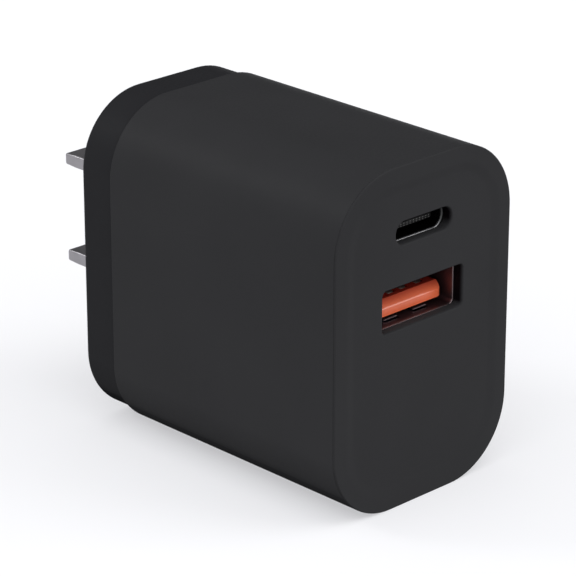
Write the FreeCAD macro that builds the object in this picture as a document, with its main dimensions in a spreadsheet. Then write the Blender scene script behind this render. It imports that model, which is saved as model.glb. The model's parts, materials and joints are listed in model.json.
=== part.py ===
"""USB wall charger: a cup-shaped housing closed by a cover that carries two flat blades.

The wall face of the cover is the plane Y = 0, with its middle at the origin. The blades point to +Y
and the two ports look to -Y. X runs across the width and Z up the height. Millimetres throughout.
"""
import FreeCAD, Part
import math
import os
import re
import Sketcher

VECTOR = FreeCAD.Vector

SIZES = {
    # case
    "body_width": 28.0,
    "body_height": 41.0,
    "body_depth": 42.5,
    "body_radius": 9.0,
    "wall": 2.0,
    "front_wall": 2.1,
    "front_round": 0.15,
    "seam_round": 0.15,
    "field_drop": 0.15,
    "field_inset": 1.6,
    "field_taper": 83.0,
    # cover
    "cover_depth": 5.6,
    "cover_side_inset": 0.45,
    "cover_top_inset": 0.25,
    "cover_radius": 8.9,
    "cover_floor": 2.5,
    "cover_round": 0.65,
    "cover_groove": 0.15,
    "spigot_length": 2.2,
    "spigot_wall": 1.0,
    "fit_gap": 0.1,
    "boss_width": 9.0,
    "boss_thick": 4.5,
    "boss_height": 2.0,
    "boss_round": 0.8,
    # blades
    "blade_width": 6.35,
    "blade_thick": 1.6,
    "blade_pitch": 12.7,
    "blade_rise": 0.25,
    "blade_length": 15.4,
    "blade_tail": 6.9,
    "tip_thick": 1.4,
    "tip_taper": 2.0,
    "tip_round": 0.4,
    "leaf_thick": 0.35,
    "leaf_width": 2.4,
    "leaf_foot": 9.3,
    "leaf_bend_low": -4.8,
    "leaf_bend_high": -3.4,
    "leaf_end": 2.4,
    # boards
    "board_back": -9.8,
    "board_thick": 1.0,
    "board_front_end": 39.6,
    "board_rear_end": 8.9,
    "board_height": 32.4,
    "rail_width": 1.0,
    "rail_height": 3.0,
    "rail_gap": 0.1,
    "rail_end": 9.0,
    "port_board_rear": 26.8,
    "port_board_thick": 1.2,
    "port_board_right": 11.2,
    "port_board_low": -1.2,
    "port_board_high": 14.6,
    "tab_height": 3.0,
    "tab_low": 2.6,
    "tab_high": 10.8,
    # ports
    "port_recess": 1.5,
    "port_lip": 1.4,
    "port_a_rise": 3.75,
    "window_a_width": 12.8,
    "window_a_height": 5.0,
    "window_a_round": 0.55,
    "shell_a_width": 13.1,
    "shell_a_height": 5.7,
    "shell_a_round": 0.6,
    "shell_wall": 0.3,
    "base_a_length": 2.2,
    "tongue_a_width": 11.1,
    "tongue_a_thick": 1.84,
    "tongue_a_gap": 0.72,
    "tongue_a_recess": 2.55,
    "tongue_a_chamfer": 0.85,
    "tongue_a_round": 0.6,
    "slot_width": 1.2,
    "slot_depth": 1.0,
    "slot_front": 38.5,
    "tab_window_width": 2.1,
    "tab_window_length": 5.4,
    "tab_window_place": 2.35,
    "tab_window_depth": 37.2,
    "arm_width": 1.0,
    "arm_thick": 0.25,
    "arm_pivot": 30.5,
    "arm_drop": 0.45,
    "arm_reach": 6.3,
    "arm_crown": 0.4,
    "arm_rise": 0.67,
    "arm_tip": 7.7,
    "arm_tip_rise": 0.2,
    "arm_root": 0.2,
    "arm_gap": 0.3,
    "tail_end": 26.6,
    "inner_contact": 1.0,
    "outer_contact": 3.5,
    "port_c_rise": 12.5,
    "window_c_width": 8.8,
    "window_c_height": 2.6,
    "window_c_round": 1.25,
    "shell_c_width": 8.94,
    "shell_c_height": 3.2,
    "shell_c_round": 1.55,
    "shell_c_rear": 31.0,
    "seat_gap": 0.1,
    "core_c_length": 1.5,
    "tongue_c_width": 6.69,
    "tongue_c_thick": 0.7,
    "tongue_c_recess": 2.1,
    "contact_c_width": 0.25,
    "contact_c_thick": 0.06,
    "contact_c_pitch": 0.5,
    "contact_c_recess": 2.4,
    "contact_c_rear": 33.0,
    # power parts on the main board
    "film_thick": 0.25,
    "film_place": -11.6,
    "film_height": 26.8,
    "spreader_thick": 0.4,
    "spreader_place": 11.35,
    "spreader_height": 25.0,
    "spreader_flange": 1.5,
    "bulk_radius": 4.0,
    "bulk_length": 18.0,
    "bulk_place": 34.8,
    "bulk_low": -11.4,
    "bulk_high": -3.3,
    "crimp_level": 1.0,
    "crimp_depth": 0.3,
    "disc_radius": 3.3,
    "disc_thick": 2.4,
    "disc_place": 10.8,
    "disc_level": 9.6,
    "ceramic_width": 1.2,
    "ceramic_height": 2.0,
    "ceramic_pitch": 2.4,
    "ceramic_start": 35.2,
    "ceramic_level": -13.0,
    "soft_pad_length": 10.0,
    "soft_pad_height": 13.0,
    "soft_pad_low": -0.6,
    "output_radius": 2.2,
    "output_length": 9.0,
    "output_place": 8.9,
    "output_low": 3.6,
    "output_high": 8.2,
    "choke_place": 15.5,
    "choke_level": -10.1,
    "choke_base": 10.6,
    "choke_base_thick": 1.0,
    "base_round": 1.0,
    "choke_foot": -6.8,
    "choke_top": -3.2,
    "choke_outer": 4.4,
    "choke_inner": 2.6,
    "wire_build": 0.8,
    "wire_slack": 0.05,
    "winding_angle": 130.0,
    "core_place": 20.3,
    "core_level": 6.4,
    "core_depth": 12.0,
    "core_height": 18.0,
    "core_foot": -7.2,
    "core_half": 7.3,
    "core_plate": 2.4,
    "core_post": 3.0,
    "core_air_gap": 0.1,
    "bobbin_slack": 0.1,
    "bobbin_wall": 0.6,
    "bobbin_flange": 6.2,
    "primary_outer": 4.9,
    "secondary_outer": 5.8,
    "winding_slack": 0.05,
}

# moulded parts that lie flat on the main board: where they sit along the board and up it,
# then how far they reach along it, up it and off it
BOARD_PARTS = {
    "fuse": {"place": 12.0, "level": 0.0, "length": 3.8, "height": 8.4, "thick": 8.0, "corner": 0.5},
    "x_capacitor": {"place": 24.5, "level": -9.6, "length": 5.6, "height": 11.6, "thick": 10.0,
                    "corner": 0.6},
    "optocoupler": {"place": 34.0, "level": 5.0, "length": 4.4, "height": 5.0, "thick": 1.9,
                    "corner": 0.3},
    "buck_inductor": {"place": 34.0, "level": 12.4, "length": 5.0, "height": 5.0, "thick": 3.0,
                      "corner": 0.8},
    "bridge_rectifier": {"place": 14.0, "level": -8.0, "length": 6.5, "height": 5.0, "thick": 1.2,
                         "corner": 0.3},
    "power_switch": {"place": 22.0, "level": -6.0, "length": 8.0, "height": 8.0, "thick": 0.9,
                     "corner": 0.3},
    "sync_rectifier": {"place": 21.0, "level": 8.0, "length": 5.0, "height": 6.0, "thick": 1.0,
                       "corner": 0.3},
    "port_controller": {"place": 33.0, "level": 9.0, "length": 5.0, "height": 5.0, "thick": 0.9,
                        "corner": 0.3},
}
BEHIND_BOARD = ("bridge_rectifier", "power_switch", "sync_rectifier", "port_controller")
for part_name, part_sizes in BOARD_PARTS.items():
    SIZES.update({f"{part_name}_{size}": value for size, value in part_sizes.items()})

COVER_FRONT = "cover_depth"
BOARD_FACE = "(board_back + board_thick)"
PORT_BOARD_FRONT = "(port_board_rear + port_board_thick)"
SHELL_FRONT = "(body_depth - port_recess)"
TONGUE_A_TOP = "(port_a_rise - shell_a_height / 2 + shell_wall + tongue_a_gap + tongue_a_thick)"
CONTACT_LEVEL = "(" + TONGUE_A_TOP + " - arm_drop)"
CONTACTS = ("-outer_contact", "-inner_contact", "inner_contact", "outer_contact")

doc = FreeCAD.newDocument("usb_wall_charger")
nodes = []


# ---------------------------------------------------------------- sheet and expressions

def make_sheet():
    """The driving dimensions, one named cell each."""
    sheet = doc.addObject("Spreadsheet::Sheet", "sizes")
    for row, (name, value) in enumerate(SIZES.items(), start=1):
        sheet.set(f"A{row}", name)
        sheet.set(f"B{row}", str(value))
        sheet.setAlias(f"B{row}", name)
    doc.recompute()


def cell(text):
    """An expression in which every size name points at the sheet."""
    return re.sub(r"[a-z][a-z_]+", lambda word: "sizes." + word.group() if word.group() in SIZES
                  else word.group(), str(text))


def bind(thing, path, text):
    thing.setExpression(path, cell(text))


# ---------------------------------------------------------------- sketches

def add_sketch(body, name, plane, shift):
    """A sketch on one of the body's origin planes, moved by shift in the plane's own axes."""
    sketch = body.newObject("Sketcher::SketchObject", name)
    support = next(item for item in body.Origin.OriginFeatures if item.Role == plane)
    sketch.AttachmentSupport = [(support, "")]
    sketch.MapMode = "FlatFace"
    for axis, amount in zip("xyz", shift):
        bind(sketch, "AttachmentOffset.Base." + axis, amount)
    return sketch


def name_size(sketch, constraint, name, text):
    """Add a dimension to a sketch and bind it to the sheet."""
    sketch.renameConstraint(sketch.addConstraint(constraint), name)
    bind(sketch, "Constraints." + name, text)


def rounded(body, name, plane, width, height, radius, shift=("0", "0", "0")):
    """A rectangle with round corners about the sketch's origin, drawn rough and then sized."""
    sketch = add_sketch(body, name, plane, shift)
    half_width, half_height, corner = 5.0, 3.0, 1.0
    in_x, in_y = half_width - corner, half_height - corner
    sides = [((-in_x, -half_height), (in_x, -half_height)), ((half_width, -in_y), (half_width, in_y)),
             ((in_x, half_height), (-in_x, half_height)), ((-half_width, in_y), (-half_width, -in_y))]
    for start, end in sides:
        sketch.addGeometry(Part.LineSegment(VECTOR(*start, 0), VECTOR(*end, 0)))
    centres = [(in_x, -in_y), (in_x, in_y), (-in_x, in_y), (-in_x, -in_y)]
    quarter = math.pi / 2
    for turn, centre in enumerate(centres):
        circle = Part.Circle(VECTOR(*centre, 0), VECTOR(0, 0, 1), corner)
        sketch.addGeometry(Part.ArcOfCircle(circle, (turn - 1) * quarter, turn * quarter))
    for side in range(4):
        arc = 4 + side
        sketch.addConstraint(Sketcher.Constraint("Tangent", side, 2, arc, 1))
        sketch.addConstraint(Sketcher.Constraint("Tangent", arc, 2, (side + 1) % 4, 1))
        sketch.addConstraint(Sketcher.Constraint("Vertical" if side % 2 else "Horizontal", side))
        if side:
            sketch.addConstraint(Sketcher.Constraint("Equal", 4, arc))
    sketch.addConstraint(Sketcher.Constraint("Symmetric", 4, 3, 6, 3, -1, 1))
    name_size(sketch, Sketcher.Constraint("DistanceX", 3, 1, 1, 1, 2 * half_width), "width", width)
    name_size(sketch, Sketcher.Constraint("DistanceY", 0, 1, 2, 1, 2 * half_height), "height", height)
    name_size(sketch, Sketcher.Constraint("Radius", 4, corner), "radius", radius)
    return sketch


def add_polygon(sketch, points, prefix="p"):
    """A closed outline of straight sides whose corners are all bound to the sheet."""
    first = sketch.GeometryCount
    count = len(points)
    rough = [FreeCAD.Rotation(VECTOR(0, 0, 1), 360.0 * corner / count).multVec(VECTOR(5, 0, 0))
             for corner in range(count)]
    for corner in range(count):
        sketch.addGeometry(Part.LineSegment(rough[corner], rough[(corner + 1) % count]))
    for corner in range(count):
        following = first + (corner + 1) % count
        sketch.addConstraint(Sketcher.Constraint("Coincident", first + corner, 2, following, 1))
    for corner, (across, along) in enumerate(points):
        line = first + corner
        start = rough[corner]
        name_size(sketch, Sketcher.Constraint("DistanceX", -1, 1, line, 1, start.x),
                  f"{prefix}x{corner}", across)
        name_size(sketch, Sketcher.Constraint("DistanceY", -1, 1, line, 1, start.y),
                  f"{prefix}y{corner}", along)


def polygon(body, name, plane, points, shift=("0", "0", "0")):
    sketch = add_sketch(body, name, plane, shift)
    add_polygon(sketch, points)
    return sketch


def rectangle(body, name, plane, width, height, shift=("0", "0", "0")):
    """A plain rectangle about the sketch's origin."""
    left, low = f"-({width}) / 2", f"-({height}) / 2"
    right, high = f"({width}) / 2", f"({height}) / 2"
    return polygon(body, name, plane, [(left, low), (right, low), (right, high), (left, high)], shift)


def circle(body, name, plane, radius, shift=("0", "0", "0")):
    sketch = add_sketch(body, name, plane, shift)
    sketch.addGeometry(Part.Circle(VECTOR(0, 0, 0), VECTOR(0, 0, 1), 1.0))
    sketch.addConstraint(Sketcher.Constraint("Coincident", 0, 3, -1, 1))
    name_size(sketch, Sketcher.Constraint("Radius", 0, 1.0), "radius", radius)
    return sketch


# ---------------------------------------------------------------- features

def new_body(name):
    body = doc.addObject("PartDesign::Body", name)
    body.Label = name
    nodes.append(body)
    return body


def volume(body):
    doc.recompute()
    return 0.0 if body.Shape.isNull() else body.Shape.Volume


def pad(body, sketch, length, backwards=False, both_sides=False, taper=None):
    """Raise a sketch along its normal and make sure that material was added."""
    before = volume(body)
    feature = body.newObject("PartDesign::Pad", sketch.Name + "_pad")
    feature.Profile = sketch
    feature.Reversed = backwards
    feature.Midplane = both_sides
    bind(feature, "Length", length)
    if taper:
        bind(feature, "TaperAngle", taper)
    if volume(body) <= before:
        raise RuntimeError(feature.Name + " added nothing")
    return feature


def cut(body, sketch, length, along_normal=False, taper=None):
    """Sink a sketch into the body and make sure that material was removed."""
    before = volume(body)
    feature = body.newObject("PartDesign::Pocket", sketch.Name + "_cut")
    feature.Profile = sketch
    feature.Reversed = along_normal
    bind(feature, "Length", length)
    if taper:
        bind(feature, "TaperAngle", taper)
    if volume(body) >= before:
        raise RuntimeError(feature.Name + " removed nothing")
    return feature


def turn(body, sketch, axis, angle="360"):
    """Revolve a sketch about one of its own axes, half of the angle each way."""
    feature = body.newObject("PartDesign::Revolution", sketch.Name + "_turn")
    feature.Profile = sketch
    feature.ReferenceAxis = (sketch, [axis])
    feature.Midplane = True
    bind(feature, "Angle", angle)
    if volume(body) <= 0:
        raise RuntimeError(feature.Name + " is empty")
    return feature


def edges_at(body, fits):
    """Names of the body's edges whose bounding box the test accepts."""
    return [f"Edge{number}" for number, edge in enumerate(body.Shape.Edges, start=1)
            if fits(edge.BoundBox)]


def soften(body, kind, name, size, fits):
    """Fillet or chamfer the edges that the test accepts."""
    before = volume(body)
    base = body.Tip
    feature = body.newObject("PartDesign::" + kind, name)
    feature.Base = (base, edges_at(body, fits))
    bind(feature, "Radius" if kind == "Fillet" else "Size", size)
    if volume(body) == before:
        raise RuntimeError(name + " changed nothing")


def flat_in_y(place):
    """A test for edges that lie in the plane Y = place."""
    return lambda box: abs(box.YMin - place) < 1e-4 and abs(box.YMax - place) < 1e-4


def block(name, low, size, keep=True):
    """A plain block with its low corner and size bound to the sheet."""
    box = doc.addObject("Part::Box", name)
    for axis, start in zip("xyz", low):
        bind(box, "Placement.Base." + axis, start)
    for path, amount in zip(("Length", "Width", "Height"), size):
        bind(box, path, amount)
    if keep:
        box.Label = name
        nodes.append(box)
    return box


def group(name, pieces):
    """Equal small pieces that stay separate solids in one node."""
    compound = doc.addObject("Part::Compound", name)
    compound.Links = pieces
    compound.Label = name
    nodes.append(compound)


# ---------------------------------------------------------------- case

def add_port_hole(body, port, rise):
    """A window through the front wall, with a wider seat behind it for the connector's shell."""
    window = rounded(body, f"window_{port}", "XZ_Plane", f"window_{port}_width",
                     f"window_{port}_height", f"window_{port}_round", ("0", rise, "body_depth"))
    cut(body, window, "front_wall")
    seat = rounded(body, f"seat_{port}", "XZ_Plane", f"shell_{port}_width + 2 * seat_gap",
                   f"shell_{port}_height + 2 * seat_gap", f"shell_{port}_round + seat_gap",
                   ("0", rise, "body_depth - front_wall"))
    cut(body, seat, "front_wall - port_lip", along_normal=True)


def make_main_housing():
    """A one-piece cup: sleeve, front wall with its shallow dished field, port holes and board rails."""
    body = new_body("main_housing")
    outline = rounded(body, "housing_outline", "XZ_Plane", "body_width", "body_height",
                      "body_radius", ("0", "0", COVER_FRONT))
    pad(body, outline, "body_depth - cover_depth")
    soften(body, "Fillet", "front_edge", "front_round", flat_in_y(-SIZES["body_depth"]))
    soften(body, "Fillet", "seam_edge", "seam_round", flat_in_y(-SIZES["cover_depth"]))
    field = rounded(body, "field", "XZ_Plane", "body_width - 2 * field_inset",
                    "body_height - 2 * field_inset", "body_radius - field_inset",
                    ("0", "0", "body_depth"))
    cut(body, field, "field_drop", taper="-field_taper")
    cavity = rounded(body, "cavity", "XZ_Plane", "body_width - 2 * wall", "body_height - 2 * wall",
                     "body_radius - wall", ("0", "0", COVER_FRONT))
    cut(body, cavity, "body_depth - cover_depth - front_wall", along_normal=True)
    rail_place = BOARD_FACE + " + rail_gap + rail_width / 2"
    rail_level = "body_height / 2 - wall + rail_gap - rail_height / 2"
    for side, sign in (("top", ""), ("bottom", "-")):
        rail = rectangle(body, f"rail_{side}", "XZ_Plane", "rail_width", "rail_height",
                         (rail_place, f"{sign}({rail_level})", "rail_end"))
        pad(body, rail, "body_depth - front_wall - rail_end")
    add_port_hole(body, "a", "port_a_rise")
    add_port_hole(body, "c", "port_c_rise")


def make_rear_cover():
    """A shallow cap that closes the cup, with a spigot inside it and a boss round each blade."""
    body = new_body("rear_cover")
    outline = rounded(body, "cover_outline", "XZ_Plane", "body_width - 2 * cover_side_inset",
                      "body_height - 2 * cover_top_inset", "cover_radius")
    pad(body, outline, "cover_depth")
    soften(body, "Fillet", "wall_edge", "cover_round", flat_in_y(0.0))
    soften(body, "Chamfer", "groove_edge", "cover_groove", flat_in_y(-SIZES["cover_depth"]))
    inset = "wall + fit_gap"
    spigot = rounded(body, "spigot", "XZ_Plane", f"body_width - 2 * ({inset})",
                     f"body_height - 2 * ({inset})", f"body_radius - ({inset})",
                     ("0", "0", COVER_FRONT))
    pad(body, spigot, "spigot_length")
    inset = "wall + fit_gap + spigot_wall"
    hollow = rounded(body, "cover_hollow", "XZ_Plane", f"body_width - 2 * ({inset})",
                     f"body_height - 2 * ({inset})", f"body_radius - ({inset})",
                     ("0", "0", "cover_depth + spigot_length"))
    cut(body, hollow, "cover_depth + spigot_length - cover_floor")
    for side, level in blade_levels():
        boss = rounded(body, f"{side}_boss", "XZ_Plane", "boss_width", "boss_thick", "boss_round",
                       ("0", level, "cover_floor"))
        pad(body, boss, "boss_height")
        slot = rectangle(body, f"{side}_slot", "XZ_Plane", "blade_width", "blade_thick",
                         ("0", level, "cover_floor + boss_height"))
        cut(body, slot, "cover_floor + boss_height")


# ---------------------------------------------------------------- blades and their leaf contacts

def blade_levels():
    return (("upper", "blade_pitch / 2 + blade_rise"), ("lower", "-blade_pitch / 2 + blade_rise"))


def make_blade(side, level):
    """A flat blade, moulded into the cover, that thins towards its square tip."""
    body = new_body(f"{side}_blade")
    shoulder = "blade_length - tip_taper"
    outline = [("-blade_tail", "-blade_thick / 2"), (shoulder, "-blade_thick / 2"),
               ("blade_length", "-tip_thick / 2"), ("blade_length", "tip_thick / 2"),
               (shoulder, "blade_thick / 2"), ("-blade_tail", "blade_thick / 2")]
    profile = polygon(body, f"{side}_blade_profile", "YZ_Plane", outline, ("0", level, "0"))
    pad(body, profile, "blade_width", both_sides=True)
    tip = SIZES["blade_length"]
    soften(body, "Fillet", f"{side}_tip_corners", "tip_round",
           lambda box: box.YMin > tip - 1e-4 and box.XLength < 1e-4)


def make_leaf(side, level):
    """A bent leaf that stands on the main board and presses on the inner end of a blade."""
    body = new_body(f"{side}_leaf_contact")
    outline = [(BOARD_FACE, "-leaf_foot"), ("leaf_bend_low", "-leaf_foot"),
               ("leaf_bend_high", "-blade_tail"), ("leaf_end", "-blade_tail"),
               ("leaf_end", "-blade_tail - leaf_thick"),
               ("leaf_bend_high", "-blade_tail - leaf_thick"),
               ("leaf_bend_low", "-leaf_foot - leaf_thick"), (BOARD_FACE, "-leaf_foot - leaf_thick")]
    profile = polygon(body, f"{side}_leaf_profile", "XY_Plane", outline, ("0", "0", level))
    pad(body, profile, "leaf_width", both_sides=True)


# ---------------------------------------------------------------- boards, film and heat spreader

def tab_levels():
    return (("low", "tab_low"), ("high", "tab_high"))


def make_main_board():
    """The upright power board, with two slots for the tabs of the port board."""
    body = new_body("main_board")
    middle = "-(board_front_end + board_rear_end) / 2"
    outline = rectangle(body, "main_board_outline", "YZ_Plane", "board_front_end - board_rear_end",
                        "board_height", (middle, "0", "board_back"))
    pad(body, outline, "board_thick")
    slot_place = "-(port_board_rear + port_board_thick / 2)"
    for side, level in tab_levels():
        slot = rectangle(body, f"{side}_tab_slot", "YZ_Plane", "port_board_thick + 2 * fit_gap",
                         "tab_height + 2 * fit_gap", (slot_place, level, BOARD_FACE))
        cut(body, slot, "board_thick")


def make_port_board():
    """The cross board behind both connectors, tabbed into the main board."""
    body = new_body("port_board")
    width = f"port_board_right - {BOARD_FACE}"
    outline = rectangle(body, "port_board_outline", "XZ_Plane", width,
                        "port_board_high - port_board_low",
                        (f"(port_board_right + {BOARD_FACE}) / 2",
                         "(port_board_high + port_board_low) / 2", "port_board_rear"))
    pad(body, outline, "port_board_thick")
    for side, level in tab_levels():
        tab = rectangle(body, f"{side}_tab", "XZ_Plane", "board_thick", "tab_height",
                        ("board_back + board_thick / 2", level, "port_board_rear"))
        pad(body, tab, "port_board_thick")
    for number, place in enumerate(CONTACTS, start=1):
        hole = rectangle(body, f"tail_hole_{number}", "XZ_Plane", "slot_width + fit_gap",
                         "arm_thick + 2 * fit_gap", (place, CONTACT_LEVEL, PORT_BOARD_FRONT))
        cut(body, hole, "port_board_thick")


def make_heat_spreader():
    """A bent sheet along the right-hand wall, with a short flange at its front."""
    body = new_body("heat_spreader")
    outer = "spreader_place + spreader_thick"
    flange = "spreader_place - spreader_flange"
    outline = [("spreader_place", "-board_rear_end"),
               ("spreader_place", "-board_front_end + spreader_thick"),
               (flange, "-board_front_end + spreader_thick"), (flange, "-board_front_end"),
               (outer, "-board_front_end"), (outer, "-board_rear_end")]
    profile = polygon(body, "spreader_profile", "XY_Plane", outline)
    pad(body, profile, "spreader_height", both_sides=True)


# ---------------------------------------------------------------- USB-A port

def make_usb_a_shell():
    """The drawn shell of the wide port, open at both ends, with four tab windows."""
    body = new_body("usb_a_shell")
    place = ("0", "port_a_rise", PORT_BOARD_FRONT)
    length = f"{SHELL_FRONT} - {PORT_BOARD_FRONT}"
    outer = rounded(body, "shell_a_outer", "XZ_Plane", "shell_a_width", "shell_a_height",
                    "shell_a_round", place)
    pad(body, outer, length)
    inner = rounded(body, "shell_a_inner", "XZ_Plane", "shell_a_width - 2 * shell_wall",
                    "shell_a_height - 2 * shell_wall", "shell_a_round - shell_wall", place)
    cut(body, inner, length, along_normal=True)
    for side, sign in (("left", "-"), ("right", "")):
        window = rectangle(body, f"{side}_tab_window", "XY_Plane", "tab_window_width",
                           "tab_window_length", (f"{sign}tab_window_place", "-tab_window_depth",
                                                 "port_a_rise + shell_a_height"))
        cut(body, window, "2 * shell_a_height")


def make_usb_a_insulator():
    """The moulded block that fills the shell's rear end, and its tongue with four slots."""
    body = new_body("usb_a_insulator")
    block_width = "shell_a_width - 2 * shell_wall"
    base = rounded(body, "insulator_base", "XZ_Plane", block_width,
                   "shell_a_height - 2 * shell_wall", "shell_a_round - shell_wall",
                   ("0", "port_a_rise", PORT_BOARD_FRONT))
    pad(body, base, "base_a_length")
    front = "body_depth - tongue_a_recess"
    root = f"{PORT_BOARD_FRONT} + base_a_length"
    tongue = rectangle(body, "tongue_a", "XZ_Plane", "tongue_a_width", "tongue_a_thick",
                       ("0", f"{TONGUE_A_TOP} - tongue_a_thick / 2", root))
    pad(body, tongue, f"{front} - ({root})")
    tip = SIZES["tongue_a_recess"] - SIZES["body_depth"]
    soften(body, "Chamfer", "tongue_front", "tongue_a_chamfer",
           lambda box: flat_in_y(tip)(box) and box.ZLength < 1e-4
           and box.ZMin > SIZES["port_a_rise"] - 1.0)
    soften(body, "Fillet", "tongue_corners", "tongue_a_round",
           lambda box: abs(box.YMin - tip) < 1e-4 and box.XLength < 1e-4 and box.YLength < 1.0)
    for number, place in enumerate(CONTACTS, start=1):
        slot = rectangle(body, f"contact_slot_{number}", "XZ_Plane", "slot_width", "slot_depth",
                         (place, f"{TONGUE_A_TOP} - slot_depth / 2", PORT_BOARD_FRONT))
        cut(body, slot, f"slot_front - {PORT_BOARD_FRONT}", along_normal=True)


def make_usb_a_contact(number, place):
    """One contact: a spring arm with a rolled root that dips into its slot, and a fixed tail."""
    body = new_body(f"usb_a_contact_arm_{number}")
    half = "arm_thick / 2"
    crown = "-arm_pivot - arm_reach"
    crest = "-arm_pivot - arm_reach - arm_crown"
    tip = "-arm_pivot - arm_tip"
    centres = [("-arm_pivot", "0"), (crown, "arm_rise"), (crest, "arm_rise"), (tip, "arm_tip_rise")]
    upper = [(along, f"{rise} + {half}") for along, rise in centres]
    lower = [(along, f"{rise} - {half}") for along, rise in reversed(centres)]
    profile = polygon(body, f"arm_profile_{number}", "YZ_Plane", upper + lower,
                      ("0", CONTACT_LEVEL, place))
    pad(body, profile, "arm_width", both_sides=True)
    root = circle(body, f"arm_root_{number}", "YZ_Plane", "arm_root",
                  ("-arm_pivot", CONTACT_LEVEL, place))
    pad(body, root, "arm_width", both_sides=True)
    block(f"usb_a_contact_tail_{number}",
          (f"{place} - slot_width / 2", "-arm_pivot + arm_gap", f"{CONTACT_LEVEL} - {half}"),
          ("slot_width", "arm_pivot - arm_gap - tail_end", "arm_thick"))


# ---------------------------------------------------------------- USB-C port

def make_usb_c_shell():
    """The seamless oval shell of the small port."""
    body = new_body("usb_c_shell")
    place = ("0", "port_c_rise", "shell_c_rear")
    length = f"{SHELL_FRONT} - shell_c_rear"
    outer = rounded(body, "shell_c_outer", "XZ_Plane", "shell_c_width", "shell_c_height",
                    "shell_c_round", place)
    pad(body, outer, length)
    inner = rounded(body, "shell_c_inner", "XZ_Plane", "shell_c_width - 2 * shell_wall",
                    "shell_c_height - 2 * shell_wall", "shell_c_round - shell_wall", place)
    cut(body, inner, length, along_normal=True)


def make_usb_c_insulator():
    """The small port's moulding: a foot on the board, a core inside the shell and the tongue."""
    body = new_body("usb_c_insulator")
    foot = rounded(body, "insulator_c_foot", "XZ_Plane", "shell_c_width", "shell_c_height",
                   "shell_c_round", ("0", "port_c_rise", PORT_BOARD_FRONT))
    pad(body, foot, f"shell_c_rear - {PORT_BOARD_FRONT}")
    core = rounded(body, "insulator_c_core", "XZ_Plane", "shell_c_width - 2 * shell_wall",
                   "shell_c_height - 2 * shell_wall", "shell_c_round - shell_wall",
                   ("0", "port_c_rise", "shell_c_rear"))
    pad(body, core, "core_c_length")
    root = "shell_c_rear + core_c_length"
    tongue = rectangle(body, "tongue_c", "XZ_Plane", "tongue_c_width", "tongue_c_thick",
                       ("0", "port_c_rise", root))
    pad(body, tongue, f"body_depth - tongue_c_recess - ({root})")


def make_usb_c_contacts():
    """Two rows of twelve flat contacts, one row on each face of the tongue."""
    strips = []
    levels = (("upper", "port_c_rise + tongue_c_thick / 2"),
              ("lower", "port_c_rise - tongue_c_thick / 2 - contact_c_thick"))
    for row, level in levels:
        for number in range(12):
            left = f"{number - 5.5} * contact_c_pitch - contact_c_width / 2"
            strips.append(block(f"contact_c_{row}_{number + 1}",
                                (left, "contact_c_recess - body_depth", level),
                                ("contact_c_width", "body_depth - contact_c_recess - contact_c_rear",
                                 "contact_c_thick"), keep=False))
    group("usb_c_contacts", strips)


# ---------------------------------------------------------------- power parts

def make_board_part(name):
    """A moulded part flat on one face of the main board, rounded at its upright corners."""
    body = new_body(name)
    behind = name in BEHIND_BOARD
    face = "board_back" if behind else BOARD_FACE
    outline = rounded(body, name + "_outline", "YZ_Plane", f"{name}_length", f"{name}_height",
                      f"{name}_corner", (f"-{name}_place", f"{name}_level", face))
    pad(body, outline, f"{name}_thick", backwards=behind)


def make_can(name, radius, length, axis, shift):
    """A round capacitor can with a crimp near its foot; its axis is the sketch's own axis."""
    body = new_body(name)
    outline = [("0", "0"), (radius, "0"), (radius, "crimp_level"),
               (f"{radius} - crimp_depth", "crimp_level + crimp_depth"),
               (radius, "crimp_level + 2 * crimp_depth"), (radius, f"{length} - crimp_depth"),
               (f"{radius} - crimp_depth", length), ("0", length)]
    if axis == "H_Axis":
        outline = [(along, across) for across, along in outline]
    sketch = polygon(body, name + "_profile", "XY_Plane", outline, shift)
    turn(body, sketch, axis)


def make_choke():
    """The mains choke: a ferrite ring on a plastic base, with a winding on each half."""
    body = new_body("choke_base")
    middle = ("-choke_place", "choke_level", BOARD_FACE)
    plate = rounded(body, "choke_plate", "YZ_Plane", "choke_base", "choke_base",
                    "base_round", middle)
    pad(body, plate, "choke_base_thick")
    shift = ("0", "-choke_place", "choke_level")
    body = new_body("choke_core")
    ring = [("choke_foot", "choke_inner"), ("choke_top", "choke_inner"),
            ("choke_top", "choke_outer"), ("choke_foot", "choke_outer")]
    turn(body, polygon(body, "choke_ring", "XY_Plane", ring, shift), "H_Axis")
    low, high = "choke_foot - wire_build", "choke_top + wire_build"
    near, far = "choke_inner - wire_build", "choke_outer + wire_build"
    coil = [(low, near), (high, near), (high, far), (low, far)]
    low, high = "choke_foot - wire_slack", "choke_top + wire_slack"
    near, far = "choke_inner - wire_slack", "choke_outer + wire_slack"
    opening = [(low, near), (high, near), (high, far), (low, far)]
    for name, sign in (("choke_line_winding", ""), ("choke_neutral_winding", "-")):
        body = new_body(name)
        sketch = add_sketch(body, name + "_section", "XY_Plane", shift)
        add_polygon(sketch, [(along, f"{sign}({across})") for along, across in coil], "outer")
        add_polygon(sketch, [(along, f"{sign}({across})") for along, across in opening],
                    "inner")
        turn(body, sketch, "H_Axis", "winding_angle")


def make_core_half(name, face, backwards):
    """Half of the ferrite core: a back plate, two outer legs and a round middle post."""
    body = new_body(name)
    middle = ("-core_place", "core_level", face)
    plate = rectangle(body, name + "_plate", "YZ_Plane", "core_depth", "core_height", middle)
    pad(body, plate, "core_half", backwards=backwards)
    inner = f"{face} - core_plate" if backwards else f"{face} + core_plate"
    window = rectangle(body, name + "_window", "YZ_Plane", "core_depth",
                       "core_height - 2 * core_plate", ("-core_place", "core_level", inner))
    cut(body, window, "core_half - core_plate", along_normal=not backwards)
    post = circle(body, name + "_post", "YZ_Plane", "core_post",
                  ("-core_place", "core_level", inner))
    pad(body, post, "core_half - core_plate - core_air_gap", backwards=backwards)


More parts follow.
